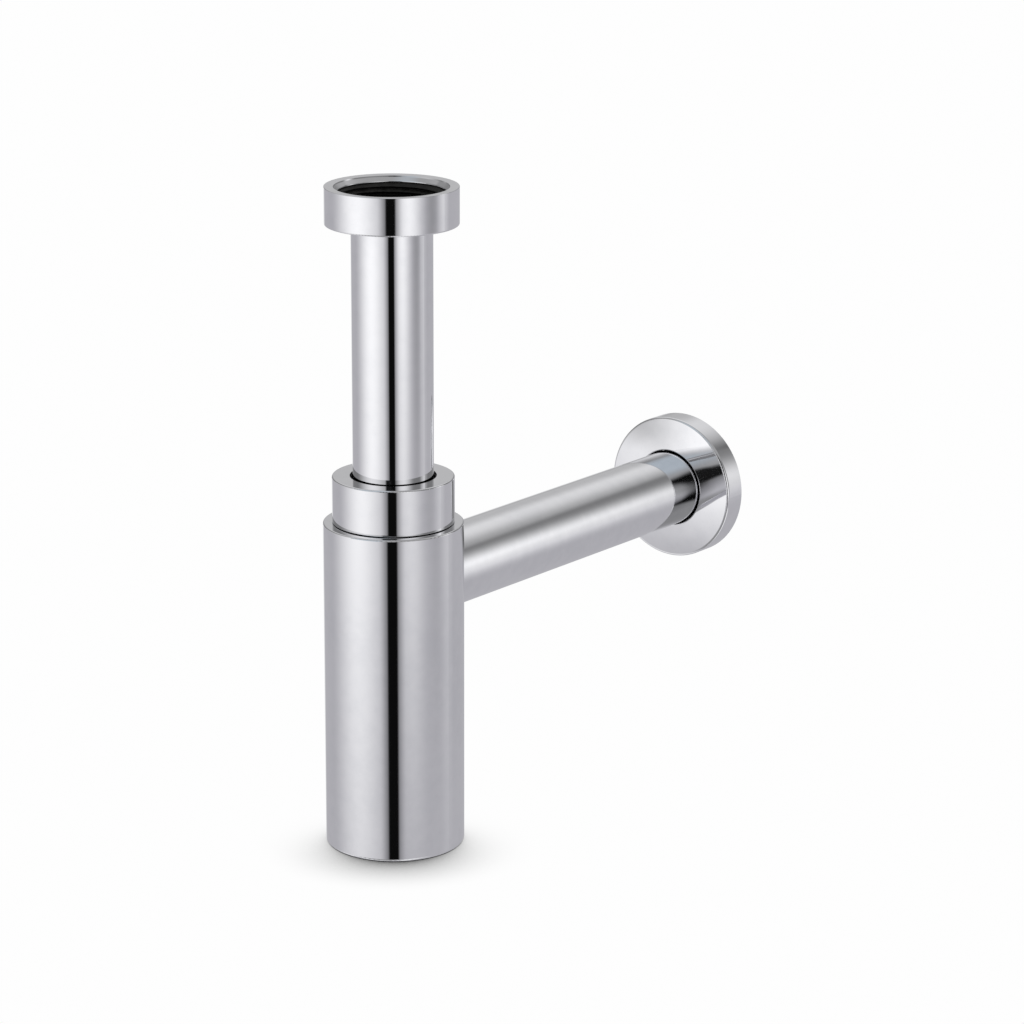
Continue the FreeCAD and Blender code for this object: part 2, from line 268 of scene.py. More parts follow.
class Turning:
    """A copy of a turned CAD node, welded, whose corners carry their exact normals while it is cut."""

    def __init__(self, node, place):
        self.place = place
        self.mesh = NODES[node].data.copy()
        normals = [corner.vector.copy() for corner in self.mesh.corner_normals]
        carried = self.mesh.attributes.new("turned_normal", "FLOAT_VECTOR", "CORNER")
        for entry, normal in zip(carried.data, normals):
            entry.vector = normal
        self.bm = bmesh.new()
        self.bm.from_mesh(self.mesh)
        bmesh.ops.remove_doubles(self.bm, verts=self.bm.verts, dist=WELD)
        self.normal = self.bm.loops.layers.float_vector["turned_normal"]

    def polar(self, point):
        """Radius, angle and height of a point about the turning's axis."""
        local = self.place.inverted() @ point
        return math.hypot(local.x, local.y), math.atan2(local.y, local.x) % math.tau, local.z

    def point(self, radius, angle, height):
        """The point at that radius, angle and height about the turning's axis."""
        return self.place @ Vector((radius * math.cos(angle), radius * math.sin(angle), height))

    def on_path(self, point, path):
        """Whether a point lies on a path of (radius, height) corners."""
        radius, _, height = self.polar(point)
        here = Vector((radius, height))
        for start, end in zip(path, path[1:]):
            along = Vector(end) - Vector(start)
            share = max(0.0, min(1.0, (here - Vector(start)).dot(along) / along.length_squared))
            if (Vector(start) + along * share - here).length < 2 * WELD:
                return True
        return False

    def ring(self, radius, height):
        """The points of the circle with that radius and height, with their angles, in order."""
        found = []
        for vert in self.bm.verts:
            polar = self.polar(vert.co)
            if abs(polar[0] - radius) < 2 * WELD and abs(polar[2] - height) < 2 * WELD:
                found.append((polar[1], vert))
        if len(found) < FEWEST_POINTS:
            raise RuntimeError(f"no circle of radius {radius:.6f} at height {height:.6f} to cut from")
        return sorted(found, key=lambda entry: entry[0])

    def slope_normal(self, radius_at, angle, height, side):
        """Normal of a surface given by its radius; side is 1 for an outer surface and -1 for a bore."""
        step = 0.00002
        radius = radius_at(angle, height)
        rise = (radius_at(angle, height + step) - radius_at(angle, height - step)) / (2 * step)
        turn = step / radius
        twist = (radius_at(angle + turn, height) - radius_at(angle - turn, height)) / (2 * step)
        out = Vector((math.cos(angle), math.sin(angle), 0))
        round_ = Vector((-math.sin(angle), math.cos(angle), 0))
        normal = (out - twist * round_ - Vector((0, 0, rise))).normalized()
        return self.place.to_3x3() @ normal * side

    def stitch(self, lower, upper, side, normal_of, slot):
        """Faces between two rings whose points may differ in number and angle."""
        count = len(lower), len(upper)
        done = [0, 0]
        rings = (lower, upper)

        def angle_after(which):
            step = done[which] + 1
            return rings[which][step % count[which]][0] + math.tau * (step // count[which])

        while done[0] < count[0] or done[1] < count[1]:
            here = [rings[k][done[k] % count[k]][1] for k in (0, 1)]
            ahead = [rings[k][(done[k] + 1) % count[k]][1] for k in (0, 1)]
            late = [done[k] >= count[k] for k in (0, 1)]
            gap = math.inf if late[0] or late[1] else angle_after(0) - angle_after(1)
            if abs(gap) < SAME_ANGLE:
                corners = [here[0], ahead[0], ahead[1], here[1]]
                moved = (0, 1)
            elif late[1] or (not late[0] and gap < 0):
                corners = [here[0], ahead[0], here[1]]
                moved = (0,)
            else:
                corners = [here[0], ahead[1], here[1]]
                moved = (1,)
            for k in moved:
                done[k] += 1
            if side < 0:
                corners.reverse()
            face = self.bm.faces.new(corners)
            face.smooth = True
            face.material_index = slot
            for loop in face.loops:
                loop[self.normal] = normal_of(loop.vert)

    def cut(self, path, radius_at, pitch, side, end=None, slot=1):
        """Swap the plain faces along a path of (radius, height) corners for a thread.

        The path goes upwards, and a step at either end of it is kept. Rows stand on a grid that mating
        threads share. With an end, the thread stops at that height, and the surface goes on plain and plated.
        """
        sizes = bpy.context.scene.trap_threads
        doomed = [face for face in self.bm.faces if all(self.on_path(v.co, path) for v in face.verts)]
        bmesh.ops.delete(self.bm, geom=doomed, context="FACES")
        low, high = path[0][1], path[-1][1]
        top = high if end is None else end
        step = pitch / sizes.steps
        step_low = path[1][1] == low
        step_high = path[-2][1] == high
        grid = [k * step for k in range(math.ceil(low / step), math.floor(top / step) + 1)]
        heights = [height for height in grid if low + step / 4 < height < top - step / 4]
        if step_low:
            heights.insert(0, low)
        if step_high or end is not None:
            heights.append(top)
        rows = [self.ring(*path[0])]
        for height in heights:
            rows.append([])
            for k in range(sizes.columns):
                angle = math.tau * k / sizes.columns
                place = self.point(radius_at(angle, height), angle, height)
                rows[-1].append((angle, self.bm.verts.new(place)))
        rows.append(self.ring(*path[-1]))
        axis = self.place.to_3x3() @ Vector((0, 0, side))

        def cut_normal(vert):
            _, angle, height = self.polar(vert.co)
            return self.slope_normal(radius_at, angle, height, side)

        def plain_normal(vert):
            return self.slope_normal(lambda angle, height: path[-1][0], self.polar(vert.co)[1], top, side)

        for k, (lower, upper) in enumerate(zip(rows, rows[1:])):
            last = k == len(rows) - 2
            if k == 0 and step_low:
                self.stitch(lower, upper, side, lambda vert: -axis, slot)
            elif last and step_high:
                self.stitch(lower, upper, side, lambda vert: axis, slot)
            elif last and end is not None:
                self.stitch(lower, upper, side, plain_normal, 0)
            else:
                self.stitch(lower, upper, side, cut_normal, slot)

    def raw(self, without_plate, slot=1):
        """Give another finish to the faces that the plate leaves bare, by radius, height and place."""
        for face in self.bm.faces:
            middle = face.calc_center_median()
            radius, _, height = self.polar(middle)
            if without_plate(radius, height, middle):
                face.material_index = slot

    def finish(self, name, node, materials):
        """The finished piece, which rides where its CAD node does and stands for it."""
        self.mesh.materials.clear()
        for material in materials:
            self.mesh.materials.append(material)
        self.bm.to_mesh(self.mesh)
        self.bm.free()
        carried = self.mesh.attributes["turned_normal"]
        normals = [entry.vector.copy() for entry in carried.data]
        self.mesh.attributes.remove(carried)
        self.mesh.normals_split_custom_set(normals)
        self.mesh.name = name
        piece = bpy.data.objects.new(name, self.mesh)
        bpy.context.scene.collection.objects.link(piece)
        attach(piece, NODES[node]["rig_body"])
        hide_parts(node)
        return piece


# Finishes

def add(tree, kind, label, **values):
    """A node with its settings; a value whose name is an input's goes to that input."""
    node = tree.nodes.new(kind)
    node.label = label
    for key, value in values.items():
        if hasattr(node, key):
            setattr(node, key, value)
        else:
            node.inputs[key.replace("_", " ")].default_value = value
    return node


def math_node(tree, label, operation, first, second=None, clamp=False):
    """A Math node on one or two sockets or numbers, as its output socket."""
    node = add(tree, "ShaderNodeMath", label, operation=operation, use_clamp=clamp)
    for socket, value in zip(node.inputs, (first, second)):
        if isinstance(value, bpy.types.NodeSocket):
            tree.links.new(value, socket)
        elif value is not None:
            socket.default_value = value
    return node.outputs[0]


def fade(tree, label, value, start, end, low=0.0, high=1.0):
    """A smooth step of a socket's value from low to high, as its output socket."""
    node = add(tree, "ShaderNodeMapRange", label, interpolation_type="SMOOTHSTEP")
    tree.links.new(value, node.inputs["Value"])
    for name, number in (("From Min", start), ("From Max", end), ("To Min", low), ("To Max", high)):
        node.inputs[name].default_value = number
    return node.outputs["Result"]


def mix(tree, label, share, first, second):
    """A colour mix of two sockets or colours, as its output socket."""
    node = add(tree, "ShaderNodeMix", label, data_type="RGBA")
    tree.links.new(share, node.inputs["Factor"])
    for socket, value in ((node.inputs[6], first), (node.inputs[7], second)):
        if isinstance(value, bpy.types.NodeSocket):
            tree.links.new(value, socket)
        else:
            socket.default_value = (*value, 1)
    return node.outputs[2]


def group(name, inputs, outputs):
    """A new shader node group with its sockets, and its input and output nodes."""
    tree = bpy.data.node_groups.new(name, "ShaderNodeTree")
    for socket, kind in inputs:
        tree.interface.new_socket(name=socket, in_out="INPUT", socket_type=kind)
    for socket in outputs:
        tree.interface.new_socket(name=socket, in_out="OUTPUT", socket_type="NodeSocketFloat")
    return tree, tree.nodes.new("NodeGroupInput"), tree.nodes.new("NodeGroupOutput")


def noise(tree, label, place, scale, detail, **values):
    """Noise over a place, with its scale as a number or a socket, as its output socket."""
    node = add(tree, "ShaderNodeTexNoise", label, Detail=detail, **values)
    tree.links.new(place, node.inputs["Vector"])
    if isinstance(scale, bpy.types.NodeSocket):
        tree.links.new(scale, node.inputs["Scale"])
    else:
        node.inputs["Scale"].default_value = scale
    return node.outputs["Fac"]


def polish_group():
    """Film from handling and the fine marks of the polishing wheel, for plated and bare metal."""
    tree, given, out = group(
        "Polish",
        [("Place", "NodeSocketVector"), ("Film Scale", "NodeSocketFloat"), ("Mark Scale", "NodeSocketFloat")],
        ["Film", "Marks"])
    place = given.outputs["Place"]
    clouds = noise(tree, "Clouds", place, 26.0, 3.0)
    prints = noise(tree, "Prints", place, given.outputs["Film Scale"], 4.0)
    both = math_node(tree, "Film", "MULTIPLY", clouds, prints)
    tree.links.new(fade(tree, "Film edge", both, 0.12, 0.42), out.inputs["Film"])
    marks = noise(tree, "Wheel marks", place, given.outputs["Mark Scale"], 3.0, Roughness=0.6)
    tree.links.new(marks, out.inputs["Marks"])
    return tree


def bore_group():
    """Mask of what lies within a radius of an axis and past its centre, for a hollow piece's inside."""
    tree, given, out = group(
        "Bore",
        [("Place", "NodeSocketVector"), ("Axis", "NodeSocketVector"), ("Centre", "NodeSocketVector"),
         ("Radius", "NodeSocketFloat")],
        ["Inside"])
    off = add(tree, "ShaderNodeVectorMath", "From the axis", operation="SUBTRACT")
    tree.links.new(given.outputs["Place"], off.inputs[0])
    tree.links.new(given.outputs["Centre"], off.inputs[1])
    across = add(tree, "ShaderNodeVectorMath", "Across", operation="CROSS_PRODUCT")
    tree.links.new(off.outputs[0], across.inputs[0])
    tree.links.new(given.outputs["Axis"], across.inputs[1])
    reach = add(tree, "ShaderNodeVectorMath", "Distance", operation="LENGTH")
    tree.links.new(across.outputs[0], reach.inputs[0])
    along = add(tree, "ShaderNodeVectorMath", "Along", operation="DOT_PRODUCT")
    tree.links.new(off.outputs[0], along.inputs[0])
    tree.links.new(given.outputs["Axis"], along.inputs[1])
    radius = given.outputs["Radius"]
    close = math_node(tree, "Close to the axis", "LESS_THAN", reach.outputs["Value"], radius)
    past = math_node(tree, "Past the centre", "GREATER_THAN", along.outputs["Value"], 0.0)
    tree.links.new(math_node(tree, "Inside", "MULTIPLY", close, past), out.inputs["Inside"])
    return tree


def grain_group():
    """Mould grain and a faint bloom, for rubber and nylon."""
    tree, given, out = group(
        "Moulded grain", [("Place", "NodeSocketVector"), ("Grain Scale", "NodeSocketFloat")],
        ["Bloom", "Grain"])
    place = given.outputs["Place"]
    clouds = noise(tree, "Bloom clouds", place, 90.0, 3.0)
    tree.links.new(fade(tree, "Bloom", clouds, 0.35, 0.7), out.inputs["Bloom"])
    grain = noise(tree, "Grain", place, given.outputs["Grain Scale"], 2.0)
    tree.links.new(grain, out.inputs["Grain"])
    return tree


def new_material(name):
    """A material with its Principled shader and the place on the piece that its patterns follow."""
    material = bpy.data.materials.new(name)
    material.use_nodes = True
    tree = material.node_tree
    shader = tree.nodes["Principled BSDF"]
    place = add(tree, "ShaderNodeTexCoord", "Place on the piece").outputs["Object"]
    return material, tree, shader, place


def use(tree, name, make, place, **values):
    """A shared group placed in a material with its own values."""
    node = tree.nodes.new("ShaderNodeGroup")
    node.node_tree = bpy.data.node_groups.get(name) or make()
    node.label = name
    tree.links.new(place, node.inputs["Place"])
    for key, value in values.items():
        node.inputs[key.replace("_", " ")].default_value = value
    return node


def bump(tree, shader, height, depth):
    """Fine relief of that depth in metres on the shader's normal."""
    node = add(tree, "ShaderNodeBump", "Relief", Strength=1.0, Distance=depth)
    tree.links.new(height, node.inputs["Height"])
    tree.links.new(node.outputs["Normal"], shader.inputs["Normal"])


def chrome(name="chrome_plate", bore=None, lining=None):
    """Polished chrome plate.

    A bore is an (axis, centre, radius), and has a dull lining of two colours mixed by the wheel marks; in the
    inlet tube that lining is near-black painted shade.
    """
    if name in bpy.data.materials:
        return bpy.data.materials[name]
    colours = bpy.context.scene.trap_finish
    material, tree, shader, place = new_material(name)
    polish = use(tree, "Polish", polish_group, place, Film_Scale=210.0, Mark_Scale=2600.0)
    colour = mix(tree, "Plate", polish.outputs["Film"], colours.chrome, colours.chrome_haze)
    rough = fade(tree, "Gloss", polish.outputs["Film"], 0.0, 1.0, 0.03, 0.055)
    if bore:
        axis, centre, radius = bore
        mask = use(tree, "Bore", bore_group, place, Axis=axis, Centre=centre, Radius=radius)
        inside = mask.outputs["Inside"]
        dull = mix(tree, "Lining", polish.outputs["Marks"], *lining)
        colour = mix(tree, "Plate or lining", inside, colour, dull)
        dullness = math_node(tree, "Bore only", "MULTIPLY", inside, 0.5)
        rough = math_node(tree, "Dull bore", "MAXIMUM", rough, dullness)
    tree.links.new(colour, shader.inputs["Base Color"])
    tree.links.new(rough, shader.inputs["Roughness"])
    shader.inputs["Metallic"].default_value = 1.0
    bump(tree, shader, polish.outputs["Marks"], depth=0.0000002)
    return material


def turned(name, clean, dull, gloss, metal=1.0, shine=0.5):
    """Turned metal without the chrome, with its tool marks, and duller where its film is thick."""
    if name in bpy.data.materials:
        return bpy.data.materials[name]
    material, tree, shader, place = new_material(name)
    polish = use(tree, "Polish", polish_group, place, Film_Scale=420.0, Mark_Scale=3200.0)
    film = polish.outputs["Film"]
    rough = fade(tree, "Dullness", film, 0.0, 1.0, gloss, gloss + 0.18)
    tree.links.new(mix(tree, "Tarnish", film, clean, dull), shader.inputs["Base Color"])
    tree.links.new(rough, shader.inputs["Roughness"])
    shader.inputs["Metallic"].default_value = metal
    shader.inputs["Specular IOR Level"].default_value = shine
    bump(tree, shader, polish.outputs["Marks"], depth=0.000004)
    return material


def brass():
    """Bare brass of the plug, the base's rim and the pipe's screwed end."""
    colours = bpy.context.scene.trap_finish
    return turned("turned_brass", colours.brass, colours.brass_dull, gloss=0.26)


def nickel():
    """Dull plate of the neck's thread and of the lock nut's inside."""
    colours = bpy.context.scene.trap_finish
    return turned("dull_nickel", colours.nickel, colours.nickel_dull, gloss=0.34)


def dark_bore():
    """Near-black painted shade on the bare metal of the inlet's mouth: a dull, barely shiny colour that
    stands in for the shade deep inside the nut.
    """
    colours = bpy.context.scene.trap_finish
    return turned("dark_bore", colours.bore, colours.bore_shade_streaks, gloss=0.42, metal=0.0, shine=0.2)


def moulded(name, colour, grain_scale, depth, gloss):
    """Black moulded rubber or nylon with its grain and a greyish bloom."""
    if name in bpy.data.materials:
        return bpy.data.materials[name]
    material, tree, shader, place = new_material(name)
    grain = use(tree, "Moulded grain", grain_group, place, Grain_Scale=grain_scale)
    bloom = grain.outputs["Bloom"]
    greyer = [channel * 1.7 + 0.004 for channel in colour]
    rough = fade(tree, "Sheen", bloom, 0.0, 1.0, gloss, gloss + 0.15)
    tree.links.new(mix(tree, "Bloom", bloom, colour, greyer), shader.inputs["Base Color"])
    tree.links.new(rough, shader.inputs["Roughness"])
    shader.inputs["Metallic"].default_value = 0.0
    bump(tree, shader, grain.outputs["Grain"], depth)
    return material


def rubber():
    """Black rubber of the washer, the seal and the rings."""
    colour = bpy.context.scene.trap_finish.rubber
    return moulded("rubber", colour, grain_scale=2400.0, depth=0.000012, gloss=0.5)


def nylon():
    """Black nylon of the slip ring."""
    colour = bpy.context.scene.trap_finish.nylon
    return moulded("nylon", colour, grain_scale=1500.0, depth=0.000006, gloss=0.36)


def coat(node, material):
    """Give a CAD node that is shown as it is its finish."""
    slots = NODES[node].data.materials
    slots.clear()
    slots.append(material)


# Pieces

class TRAP_OT_bottle(bpy.types.Operator):
    """Bottle with a threaded neck and base rim, and the seal in the neck"""

    bl_idname = "trap.bottle"
    bl_label = "Bottle"

    def execute(self, context):
        sizes = context.scene.trap_threads
        low, high = (corner.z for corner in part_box("bottle_body"))
        bevel = sizes.bevel
        neck_r = sizes.union_radius
        seat_r = neck_r - SEAT_INSET
        shoulder = high - NECK_H
        rim_top = low + RIM_H
        rim_start = low + bevel
        rim_end = low + RIM_THREAD_H
        body = Turning("bottle_body", UPRIGHT)
        body.raw(lambda r, h, at: (r < CHAMBER_R and rim_top < h < shoulder - HAIR)
                 or (r < RIM_R + 2 * HAIR and h < rim_top))
        body.raw(lambda r, h, at: h > shoulder + HAIR, slot=2)
        neck_thread = helix(neck_r, sizes.union_pitch, sizes.union_depth,
                            low=shoulder + NECK_RUN_OUT, tip=(seat_r + SEAT_EDGE, high))
        neck = [(neck_r, shoulder), (neck_r, high - bevel), (neck_r - bevel, high), (seat_r, high)]
        body.cut(neck, neck_thread, sizes.union_pitch, 1, slot=2)
        rim_thread = helix(RIM_R, sizes.plug_pitch, sizes.plug_depth, low=rim_start + RUN_OUT, high=rim_end)
        body.cut([(RIM_R, rim_start), (RIM_R, rim_end)], rim_thread, sizes.plug_pitch, -1)
        body.finish("bottle", "bottle_body", [chrome(), brass(), nickel()])
        coat("tube_seal", rubber())
        return {"FINISHED"}


class TRAP_OT_lock_nut(bpy.types.Operator):
    """Threaded lock nut on the neck, and the slip ring under its crown"""

    bl_idname = "trap.lock_nut"
    bl_label = "Lock nut"

    def execute(self, context):
        sizes = context.scene.trap_threads
        low, high = (corner.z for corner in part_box("lock_nut"))
        bore_r = sizes.union_radius + sizes.play
        mouth = low + sizes.bevel
        crown = high - CROWN_H
        nut = Turning("lock_nut", UPRIGHT)
        nut.raw(lambda r, h, at: r < bore_r + 4 * HAIR and h < crown + 2 * HAIR)
        thread = helix(bore_r, sizes.union_pitch, sizes.union_depth, low=mouth, high=crown)
        nut.cut([(bore_r, mouth), (bore_r, crown)], thread, sizes.union_pitch, -1)
        nut.finish("lock_nut_threaded", "lock_nut", [chrome(), nickel()])
        coat("slip_ring", nylon())
        return {"FINISHED"}


class TRAP_OT_inlet(bpy.types.Operator):
    """Inlet tube, its union nut with the thread for the waste, the washer and the grip ring"""

    bl_idname = "trap.inlet"
    bl_label = "Inlet"

    def execute(self, context):
        sizes = context.scene.trap_threads
        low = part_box("inlet_nut")[0].z
        floor = low + NUT_FLOOR_H
        bore_r = sizes.union_radius
        nut = Turning("inlet_nut", UPRIGHT)
        # The mouth's faces get the near-black painted shade of the bore.
        nut.raw(lambda r, h, at: r < bore_r + MOUTH_RELIEF and floor < h < MOUTH_H)
        thread = helix(bore_r, sizes.union_pitch, sizes.union_depth, low=0.0, high=MOUTH_H - RUN_OUT)
        nut.cut([(bore_r, 0.0), (bore_r, MOUTH_H)], thread, sizes.union_pitch, -1)
        nut.finish("inlet_nut_threaded", "inlet_nut", [chrome(), dark_bore()])
        colours = context.scene.trap_finish
        # The inlet tube's inside, within the bore radius and below the origin, is lined with the same
        # near-black painted shade.
        tube_bore = ((0, 0, -1), (0, 0, 0), TUBE_BORE_R)
        coat("inlet_tube", chrome("chrome_tube", tube_bore, (colours.bore, colours.bore_shade_streaks)))
        coat("inlet_washer", rubber())
        coat("nut_grip_ring", rubber())
        return {"FINISHED"}


class TRAP_OT_cleaning_plug(bpy.types.Operator):
    """Threaded cleaning plug in the base, and its ring"""

    bl_idname = "trap.cleaning_plug"
    bl_label = "Cleaning plug"

    def execute(self, context):
        sizes = context.scene.trap_threads
        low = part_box("base_plug")[0].z
        start = low + sizes.bevel
        step = low + PLUG_THREAD_H

        def in_slot(place):
            return abs(place.x) < SLOT_REACH and abs(place.y) < SLOT_SIDE and place.z < low + SLOT_DEPTH

        plug = Turning("base_plug", UPRIGHT)
        plug.raw(lambda r, h, at: h > start - HAIR and not in_slot(at))
        thread = helix(PLUG_R, sizes.plug_pitch, sizes.plug_depth,
                       low=start + 2 * HAIR, tip=(PLUG_NOSE_R + HAIR, step))
        plug.cut([(PLUG_R, start), (PLUG_R, step), (PLUG_NOSE_R, step)], thread, sizes.plug_pitch, 1)
        plug.finish("cleaning_plug", "base_plug", [chrome(), brass()])
        coat("plug_ring", rubber())
        return {"FINISHED"}


class TRAP_OT_outlet(bpy.types.Operator):
    """Outlet pipe with a threaded end, and its ring"""

    bl_idname = "trap.outlet"
    bl_label = "Outlet pipe"

    def execute(self, context):
        sizes = context.scene.trap_threads
        near, far = (corner.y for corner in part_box("outlet_pipe"))
        step = near + PIPE_NOSE_H
        end = near + PIPE_THREAD_H
        mark = far - PIPE_MARK
        pipe = Turning("outlet_pipe", ALONG_PIPE)
        pipe.raw(lambda r, h, at: h < end)
        thread = helix(PIPE_R, sizes.pipe_pitch, sizes.pipe_depth, high=end, tip=(PIPE_NOSE_R + HAIR, step))
        pipe.cut([(PIPE_NOSE_R, step), (PIPE_R, step), (PIPE_R, mark)], thread, sizes.pipe_pitch, 1, end=end)
        colours = context.scene.trap_finish
        bore = ((0, 1, 0), (0, 0, PIPE_Z), PIPE_BORE_R)
        plate = chrome("chrome_pipe", bore, (colours.brass_dull, colours.brass))
        pipe.finish("outlet_pipe_threaded", "outlet_pipe", [plate, brass()])
        coat("pipe_ring", rubber())
        return {"FINISHED"}


class TRAP_OT_wall_flange(bpy.types.Operator):
    """Wall flange and the ring that holds it on the pipe"""

    bl_idname = "trap.wall_flange"
    bl_label = "Wall flange"

    def execute(self, context):
        colours = context.scene.trap_finish
        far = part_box("wall_flange")[1].y
        hollow = ((0, 1, 0), (0, far - HOLLOW_H, PIPE_Z), HOLLOW_R)
        coat("wall_flange", chrome("chrome_flange", hollow, (colours.nickel, colours.nickel_dull)))
        coat("flange_grip_ring", rubber())
        return {"FINISHED"}


# Stage

def facing(azimuth, elevation=0.0):
    """Direction of a place in the studio, whose azimuth counts from the camera towards the pipe's side."""
    turn = math.radians(azimuth - CAMERA_SIDE)
    rise = math.radians(elevation)
    return Vector((math.cos(turn) * math.cos(rise), math.sin(turn) * math.cos(rise), math.sin(rise)))


class Surround:
    """The studio that the chrome mirrors: soft boxes and dark gaps on grey walls, by direction."""

    def __init__(self, tree, wall):
        self.tree = tree
        self.direction = add(tree, "ShaderNodeTexCoord", "Direction").outputs["Generated"]
        parts = add(tree, "ShaderNodeSeparateXYZ", "Parts")
        tree.links.new(self.direction, parts.inputs[0])
        self.turn = math_node(tree, "Turn", "ARCTAN2", parts.outputs["Y"], parts.outputs["X"])
        self.rise = math_node(tree, "Rise", "ARCSINE", parts.outputs["Z"])
        self.colour = wall

    def lay(self, label, mask, level, tint=NEUTRAL):
        """Put a card of that level over what is there already."""
        self.colour = mix(self.tree, label, mask, self.colour, [level * channel for channel in tint])

    def strip(self, label, azimuth, inner, outer, level, low=None, high=None):
        """An upright card, with the half widths that it starts and ends to fade at, in degrees."""
        tree = self.tree
        middle = math.radians(azimuth - CAMERA_SIDE)
        off = math_node(tree, label + " offset", "SUBTRACT", self.turn, middle)
        off = math_node(tree, label + " angle", "ARCCOSINE", math_node(tree, label + " wrap", "COSINE", off))
        mask = fade(tree, label + " sides", off, math.radians(outer), math.radians(inner))
        for name, ends in (("foot", low), ("head", high)):
            if ends:
                edge = fade(tree, f"{label} {name}", self.rise, *(math.radians(angle) for angle in ends))
                mask = math_node(tree, f"{label} to its {name}", "MULTIPLY", mask, edge)
        self.lay(label, mask, level)

    def spot(self, label, azimuth, elevation, inner, outer, level, tint=NEUTRAL):
        """A round card, with the radii that it starts and ends to fade at, in degrees."""
        tree = self.tree
        near = add(tree, "ShaderNodeVectorMath", label + " nearness", operation="DOT_PRODUCT")
        tree.links.new(self.direction, near.inputs[0])
        near.inputs[1].default_value = facing(azimuth, elevation)
        off = math_node(tree, label + " angle", "ARCCOSINE", near.outputs["Value"])
        mask = fade(tree, label + " edge", off, math.radians(outer), math.radians(inner))
        self.lay(label, mask, level, tint)

    def above(self, label, low, high, level):
        """All that lies higher than an elevation, with the angles that it starts and ends to fade in at."""
        mask = fade(self.tree, label + " edge", self.rise, math.radians(low), math.radians(high))
        self.lay(label, mask, level)


def mix_shader(tree, label, share, first, second):
    """A mix of the shaders that two nodes put out, as its node."""
    node = add(tree, "ShaderNodeMixShader", label)
    for socket, given in zip(node.inputs, (share, first.outputs[0], second.outputs[0])):
        tree.links.new(given, socket)
    return node


def make_world(studio):
    """White for the camera, the studio's cards for the metal, and a plain fill for the rest."""
    world = bpy.data.worlds.new("studio")
    world.use_nodes = True
    tree = world.node_tree
    tree.nodes.clear()
    walls = Surround(tree, studio.surround)
    walls.above("Upper wall", -10, 4, 0.218)
    walls.above("Ceiling", 31.6, 37.6, 0.367)
    walls.spot("Ceiling box", 176.9, 49.1, 16, 46, 0.78)
    walls.strip("Back wall", 180, 0, 22, 0.514, low=(-15, 12.3), high=(50, 34))
    walls.spot("Dark corner", 122.3, 25.4, 5.1, 7.2, 0.034)
    walls.spot("Dark gap", 72.1, 0, -3, 21.7, 0.126)
    walls.strip("Far box", 97.75, -4, 18.9, 1.275, low=(-27.8, 14.1), high=(38.4, 2.9))
    walls.spot("Back glow", -172.4, -11, 5, 16, 0.87)
    walls.strip("Left box", -60.5, 0.4, 62.9, 1.111, low=(-31.6, -10.2), high=(39.6, 4.1))
    walls.strip("Right box", 29.2, 0, 33.8, 1.158, low=(-24.7, -5.9), high=(32.2, 5.1))
    walls.strip("Left box's edge", -105, 20, 38, 0.52, low=(-11, -6), high=(12, 4))
    walls.strip("Flag's shade", -3, -3, 23.2, 0.001, high=(34, 25.6))
    walls.strip("Black flag", -2.2, 6.35, 10.05, 0.004, high=(34, 25.6))
    walls.strip("Flag's wing", -13, 5, 11, 0.01, low=(-3, 3), high=(34, 25.6))
    walls.spot("Sky panel", -45, 50, 14, 34, 0.56, tint=COOL)
    walls.strip("Floor", -28, 12, 64, 0.29, high=(-22, -30))
    walls.strip("Floor's left light", -98, 0, 40, 0.9, high=(-25, -34))
    walls.strip("Floor's right light", 46, 0, 38, 0.95, high=(-25, -34))
    ray = add(tree, "ShaderNodeLightPath", "Ray").outputs
    shades = []
    for label, colour, strength in (
            ("Fill", (1, 1, 1), studio.fill), ("Studio", walls.colour, 1.0),
            ("Backdrop", (1, 1, 1), studio.white)):
        shade = add(tree, "ShaderNodeBackground", label, Strength=strength)
        if isinstance(colour, bpy.types.NodeSocket):
            tree.links.new(colour, shade.inputs["Color"])
        else:
            shade.inputs["Color"].default_value = (*colour, 1)
        shades.append(shade)
    fill, cards, backdrop = shades
    seen = math_node(tree, "Seen", "ADD", ray["Is Camera Ray"], ray["Is Glossy Ray"], clamp=True)
    seen = math_node(tree, "Seen through", "ADD", seen, ray["Is Transmission Ray"], clamp=True)
    shown = mix_shader(tree, "Backdrop or studio", ray["Is Camera Ray"], cards, backdrop)
    whole = mix_shader(tree, "Seen or fill", seen, fill, shown)
    tree.links.new(whole.outputs[0], add(tree, "ShaderNodeOutputWorld", "World").inputs["Surface"])
    bpy.context.scene.world = world


